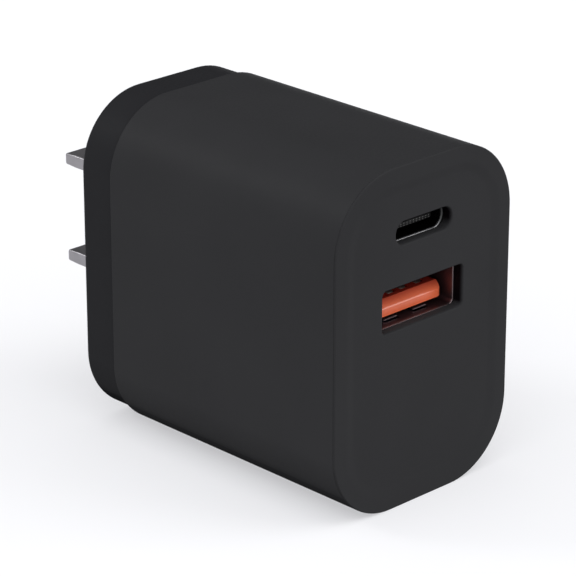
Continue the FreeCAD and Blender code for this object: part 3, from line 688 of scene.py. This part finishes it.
def plastic(name, colour, roughness, grain, relief, variation=0.12, specular=0.5, painted_port_shade=None):
    """Moulded plastic: fine eroded grain, faint flow clouds and uneven gloss.

    The case's two mouldings also give a colour of painted shade for inside the ports, and get painted
    shade and lose their gloss where they face the floor. The cover has no ports: there the painted
    port shade only darkens a rectangle of the wall face, which is a fault.
    """
    nodes = Nodes(name)
    clouds = nodes.noise(12 * MM, 2)
    fine = nodes.noise(grain, 2)
    coarse = nodes.noise(grain * 4, 3)
    tone = nodes.mix(nodes.spread(clouds, 0, 1), shade(colour, 1 - variation),
                     shade(colour, 1 + variation))
    if painted_port_shade:
        # painted shade: darker colour where the moulding faces the floor
        tone = nodes.blend(nodes.facing("Z", -0.05, -0.85), tone, shade(colour, PAINTED_UNDERSIDE_SHADE))
        # painted shade on the walls inside the ports
        tone = nodes.blend(nodes.port_shade_mask(), tone, painted_port_shade)
    nodes.join(tone, nodes.shader.inputs["Base Color"])
    nodes.join(nodes.spread(coarse, roughness - 0.04, roughness + 0.04),
               nodes.shader.inputs["Roughness"])
    nodes.join(nodes.bump(fine, relief, nodes.bump(coarse, relief)), nodes.shader.inputs["Normal"])
    if painted_port_shade:
        # gloss fades out where the moulding faces the floor, along with the painted underside shade
        nodes.join(nodes.facing("Z", -0.05, -0.6, specular, 0.0),
                   nodes.shader.inputs["Specular IOR Level"])
    else:
        nodes.shader.inputs["Specular IOR Level"].default_value = specular
    return nodes.material


def tongue_plastic(name, colour, deep):
    """Orange moulding with painted shade: its tone deepens behind its nose, where little light reaches."""
    nodes = Nodes(name)
    clouds = nodes.noise(4 * MM, 2)
    fine = nodes.noise(0.12 * MM, 2)
    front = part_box("usb_a_insulator")[0].y
    tone = nodes.mix(nodes.spread(clouds, 0, 1), shade(colour, 0.95), shade(colour, 1.05))
    # painted shade: the colour fades to the deep tone behind the nose
    depth = nodes.behind(front + 0.15 * MM, front + 1.1 * MM)
    nodes.join(nodes.blend(depth, tone, deep), nodes.shader.inputs["Base Color"])
    nodes.join(nodes.spread(clouds, 0.2, 0.26), nodes.shader.inputs["Roughness"])
    nodes.join(nodes.bump(fine, 0.0012 * MM), nodes.shader.inputs["Normal"])
    nodes.shader.inputs["Specular IOR Level"].default_value = 0.55
    return nodes.material


def metal(name, colour, roughness, stretch, grain, relief, rim=None):
    """Plated or brushed metal: drawn-out lines, cloudy tone and uneven polish.

    A port's shell also gives rim: the depth of its front, a painted highlight colour for its edges that
    face up or out of the port, and a painted shade colour for its inside.
    """
    nodes = Nodes(name)
    lines = nodes.noise(grain, 2, stretch)
    clouds = nodes.noise(3 * MM, 3)
    tone = nodes.mix(nodes.spread(clouds, 0, 1), shade(colour, 0.9), shade(colour, 1.05))
    if rim:
        front, painted_lip_highlight, inside = rim
        depth = nodes.behind(front + 0.2 * MM, front + 0.35 * MM)
        outward = nodes.facing("Y", -0.5, -0.9)
        # painted highlight on edges that face up, painted shade deeper in, and a brighter painted highlight
        # on deep edges that face out of the port
        tone = nodes.blend(nodes.facing("Z", 0.4, 0.8), tone, painted_lip_highlight)
        tone = nodes.blend(depth, tone, inside)
        tone = nodes.blend(nodes.times(depth, outward), tone, shade(painted_lip_highlight, PAINTED_CUT_EDGE_HIGHLIGHT))
    nodes.join(tone, nodes.shader.inputs["Base Color"])
    nodes.join(nodes.spread(lines, roughness - 0.04, roughness + 0.04),
               nodes.shader.inputs["Roughness"])
    nodes.join(nodes.bump(lines, relief, nodes.bump(clouds, relief)), nodes.shader.inputs["Normal"])
    nodes.shader.inputs["Metallic"].default_value = 1.0
    return nodes.material


def winding(name, colour):
    """Enamelled wire: close round turns across the coil, each a little different in tone."""
    nodes = Nodes(name)
    wave = nodes.add("ShaderNodeTexWave", bands_direction="X")
    wave.inputs["Scale"].default_value = 1600
    wave.inputs["Distortion"].default_value = 0.6
    nodes.join(nodes.place, wave.inputs["Vector"])
    tone = nodes.noise(0.6 * MM, 3, (1, 8, 8))
    nodes.join(nodes.mix(nodes.spread(tone, 0, 1), shade(colour, 0.6), colour),
               nodes.shader.inputs["Base Color"])
    nodes.join(nodes.bump(wave.outputs["Fac"], 0.05 * MM), nodes.shader.inputs["Normal"])
    nodes.join(nodes.spread(tone, 0.22, 0.34), nodes.shader.inputs["Roughness"])
    nodes.shader.inputs["Metallic"].default_value = 1.0
    return nodes.material


def laminate(name, mask, copper):
    """Circuit board: solder mask over a faint glass weave, with lighter areas where copper runs."""
    nodes = Nodes(name)
    weave = nodes.add("ShaderNodeTexBrick")
    weave.inputs["Scale"].default_value = 500
    weave.inputs["Color1"].default_value = (0.4, 0.4, 0.4, 1)
    weave.inputs["Color2"].default_value = (0.6, 0.6, 0.6, 1)
    nodes.join(nodes.place, weave.inputs["Vector"])
    areas = nodes.add("ShaderNodeTexVoronoi", distance="CHEBYCHEV")
    areas.inputs["Scale"].default_value = 260
    nodes.join(nodes.place, areas.inputs["Vector"])
    nodes.join(nodes.mix(nodes.spread(areas.outputs["Distance"], 0, 1), copper, mask),
               nodes.shader.inputs["Base Color"])
    nodes.join(nodes.bump(weave.outputs["Color"], 0.01 * MM), nodes.shader.inputs["Normal"])
    nodes.join(nodes.spread(nodes.noise(2 * MM), 0.28, 0.4), nodes.shader.inputs["Roughness"])
    return nodes.material


def floor_material():
    """Pale studio sweep, lit a little from below, with a barely visible unevenness."""
    nodes = Nodes("studio_floor")
    nodes.join(nodes.mix(nodes.spread(nodes.noise(60 * MM, 2), 0, 1), (0.34, 0.34, 0.343),
                         (0.35, 0.35, 0.353)), nodes.shader.inputs["Base Color"])
    nodes.shader.inputs["Emission Color"].default_value = (0.97, 0.97, 1.0, 1)
    nodes.shader.inputs["Emission Strength"].default_value = 0.482
    nodes.shader.inputs["Roughness"].default_value = 0.75
    nodes.shader.inputs["Specular IOR Level"].default_value = 0.1
    return nodes.material


def make_materials():
    """One material for each slot of the record, and darker ones for the small port's metal as painted
    shade; its shell also gets a painted highlight on edges that face up.
    """
    return {
        # the last colour of each case moulding is painted shade for the walls inside the ports
        "case_plastic": plastic("case_plastic", (0.0180, 0.0180, 0.0190), 0.48, 0.09 * MM, 0.0012 * MM,
                                0.04, 0.035, (0.002, 0.0012, 0.0018)),
        "cover_plastic": plastic("cover_plastic", (0.0115, 0.0115, 0.0126), 0.5, 0.09 * MM,
                                 0.0012 * MM, 0.04, 0.03, (0.002, 0.0012, 0.0018)),
        # the tongue's second colour is painted shade behind its nose
        "orange_plastic": tongue_plastic("orange_plastic", (0.515, 0.096, 0.037), (0.24, 0.02, 0.012)),
        "black_plastic": plastic("black_plastic", (0.006, 0.006, 0.006), 0.45, 0.1 * MM, 0.001 * MM,
                                 0.12, 0.15),
        "blade_metal": metal("blade_metal", (0.30, 0.29, 0.305), 0.36, (1, 14, 1), 0.12 * MM,
                             0.0001 * MM),
        # shell colours: the metal's own grey with a reddish painted reflection of the orange tongue; the
        # second colour is a painted highlight for edges that face up, the third painted shade inside
        "shell_metal": metal("shell_metal", (0.15, 0.115, 0.12), 0.42, (1, 10, 1), 0.1 * MM,
                             0.001 * MM, (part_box("usb_a_shell")[0].y, (0.20, 0.155, 0.16),
                                          (0.14, 0.078, 0.084))),
        # small shell: dark base as painted shade on its side edges, a painted highlight for edges that face
        # up and painted shade inside
        "small_shell_metal": metal("small_shell_metal", (0.05, 0.05, 0.05), 0.36, (1, 10, 1),
                                   0.1 * MM, 0.001 * MM,
                                   (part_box("usb_c_shell")[0].y, (0.32, 0.32, 0.33),
                                    (0.02, 0.02, 0.02))),
        # contact colour darker than plated metal, as painted shade of the slots the contacts lie in
        "contact_metal": metal("contact_metal", (0.21, 0.185, 0.155), 0.3, (1, 6, 1), 0.06 * MM,
                               0.001 * MM),
        "small_contact_metal": metal("small_contact_metal", (0.13, 0.13, 0.127), 0.3, (1, 6, 1),
                                     0.06 * MM, 0.001 * MM),
        "leaf_metal": metal("leaf_metal", (0.66, 0.45, 0.27), 0.3, (8, 1, 1), 0.08 * MM, 0.002 * MM),
        "spreader_metal": metal("spreader_metal", (0.78, 0.79, 0.80), 0.34, (1, 20, 1), 0.1 * MM,
                                0.003 * MM),
        "copper_wire": winding("copper_wire", (0.72, 0.30, 0.12)),
        "board_laminate": laminate("board_laminate", (0.02, 0.10, 0.045), (0.03, 0.16, 0.07)),
        "ferrite": plastic("ferrite", (0.055, 0.055, 0.058), 0.5, 0.2 * MM, 0.008 * MM, 0.25),
        "coil_former": plastic("coil_former", (0.03, 0.03, 0.03), 0.45, 0.15 * MM, 0.002 * MM),
        "filter_box": plastic("filter_box", (0.62, 0.46, 0.06), 0.38, 0.2 * MM, 0.002 * MM),
        "fuse_body": plastic("fuse_body", (0.07, 0.05, 0.045), 0.42, 0.2 * MM, 0.002 * MM),
        "disc_coating": plastic("disc_coating", (0.03, 0.12, 0.36), 0.25, 0.5 * MM, 0.01 * MM),
        "can_sleeve": plastic("can_sleeve", (0.03, 0.03, 0.045), 0.22, 0.6 * MM, 0.002 * MM),
        "chip_epoxy": plastic("chip_epoxy", (0.018, 0.018, 0.019), 0.55, 0.08 * MM, 0.003 * MM),
        "ceramic": plastic("ceramic", (0.42, 0.30, 0.18), 0.4, 0.1 * MM, 0.002 * MM, 0.2),
        "film": plastic("film", (0.66, 0.64, 0.56), 0.3, 0.8 * MM, 0.004 * MM, 0.05),
        "soft_pad": plastic("soft_pad", (0.30, 0.35, 0.42), 0.7, 0.12 * MM, 0.006 * MM, 0.15),
    }


# ---------------------------------------------------------------- assembly

def dress(materials):
    """Stand the finished pieces in for the visible nodes and paint every node that stays."""
    place_piece(make_housing(), "main_housing", materials["case_plastic"])
    place_piece(make_cover(), "rear_cover", materials["cover_plastic"])
    for side in ("upper", "lower"):
        place_piece(make_blade(side), f"{side}_blade", materials["blade_metal"])
    place_piece(make_shell_a(), "usb_a_shell", materials["shell_metal"])
    place_piece(make_tongue_a(), "usb_a_insulator", materials["orange_plastic"])
    for number in range(1, 5):
        place_piece(make_arm(number), f"usb_a_contact_arm_{number}",
                    materials["contact_metal"], f"contact_arm_{number}")
    place_piece(make_shell_c(), "usb_c_shell", materials["small_shell_metal"])
    place_piece(make_tongue_c(), "usb_c_insulator", materials["black_plastic"])
    place_piece(make_contacts_c(), "usb_c_contacts",
                materials["small_contact_metal"])
    for part in frame["record"]["subparts"]:
        node = frame["nodes"][part["node"]]
        node.data.materials.clear()
        node.data.materials.append(materials[part["material_slot"]])


# ---------------------------------------------------------------- studio

def add_floor():
    size = 3.0
    level = cad_box[0].z
    mesh = bmesh.new()
    corners = [mesh.verts.new((x * size, y * size, level))
               for x, y in ((-1, -1), (1, -1), (1, 1), (-1, 1))]
    mesh.faces.new(corners)
    floor = make_object("floor", mesh)
    floor.data.materials.append(floor_material())


def add_softbox(name, place, aim, size, power):
    """A square area light at place that looks at aim."""
    light = bpy.data.lights.new(name, "AREA")
    light.shape = "SQUARE"
    light.size = size
    light.energy = power
    lamp = bpy.data.objects.new(name, light)
    bpy.context.scene.collection.objects.link(lamp)
    lamp.location = place
    lamp.rotation_mode = "QUATERNION"
    lamp.rotation_quaternion = (Vector(aim) - Vector(place)).to_track_quat("-Z", "Y")


def add_surroundings():
    """A pale tent that is brighter in front and above than behind."""
    world = bpy.data.worlds.new("studio")
    bpy.context.scene.world = world
    world.use_nodes = True
    tree = world.node_tree
    background = tree.nodes["Background"]
    background.inputs["Color"].default_value = (0.97, 0.98, 1.0, 1)
    direction = tree.nodes.new("ShaderNodeTexCoord")
    toward = tree.nodes.new("ShaderNodeVectorMath")
    toward.operation = "DOT_PRODUCT"
    toward.inputs[1].default_value = Vector((-0.68, -0.57, 0.47)).normalized()
    strength = tree.nodes.new("ShaderNodeMapRange")
    strength.inputs["From Min"].default_value = -0.3
    strength.inputs["From Max"].default_value = 0.9
    strength.inputs["To Min"].default_value = 0.12
    strength.inputs["To Max"].default_value = 1.97
    tree.links.new(direction.outputs["Generated"], toward.inputs[0])
    tree.links.new(toward.outputs["Value"], strength.inputs["Value"])
    tree.links.new(strength.outputs["Result"], background.inputs["Strength"])


def add_lights():
    """A weak overhead box, a key from the right front and a rim from the rear left."""
    add_softbox("overhead", (0.0, 0.0, 0.9), (0, 0, 0), 1.2, 3.0)
    add_softbox("right_front", (0.6, -0.72, 0.6), (0, 0, 0), 0.7, 5.4)
    add_softbox("rear_left", (-0.55, 0.75, 0.68), (0, 0, 0), 0.3, 2.8)


def add_camera():
    """A long lens from the left front, a little above the charger."""
    azimuth, elevation = math.radians(-44.18), math.radians(21.86)
    distance = 346.65 * MM
    front = cad_box[0].y
    target = Vector((-3.15 * MM, front + 18.50 * MM, 0.72 * MM))
    back = Vector((math.sin(azimuth) * math.cos(elevation), -math.cos(azimuth) * math.cos(elevation),
                   math.sin(elevation)))
    data = bpy.data.cameras.new("camera")
    data.sensor_width = 36.0
    data.lens = 188.36
    camera = bpy.data.objects.new("camera", data)
    bpy.context.scene.collection.objects.link(camera)
    camera.location = target + back * distance
    camera.rotation_mode = "QUATERNION"
    camera.rotation_quaternion = (-back).to_track_quat("-Z", "Y")
    data.clip_start = 0.01
    data.clip_end = 10.0
    bpy.context.scene.camera = camera


dress(make_materials())
add_floor()
add_surroundings()
add_lights()
add_camera()
bpy.context.scene.view_settings.view_transform = "Standard"
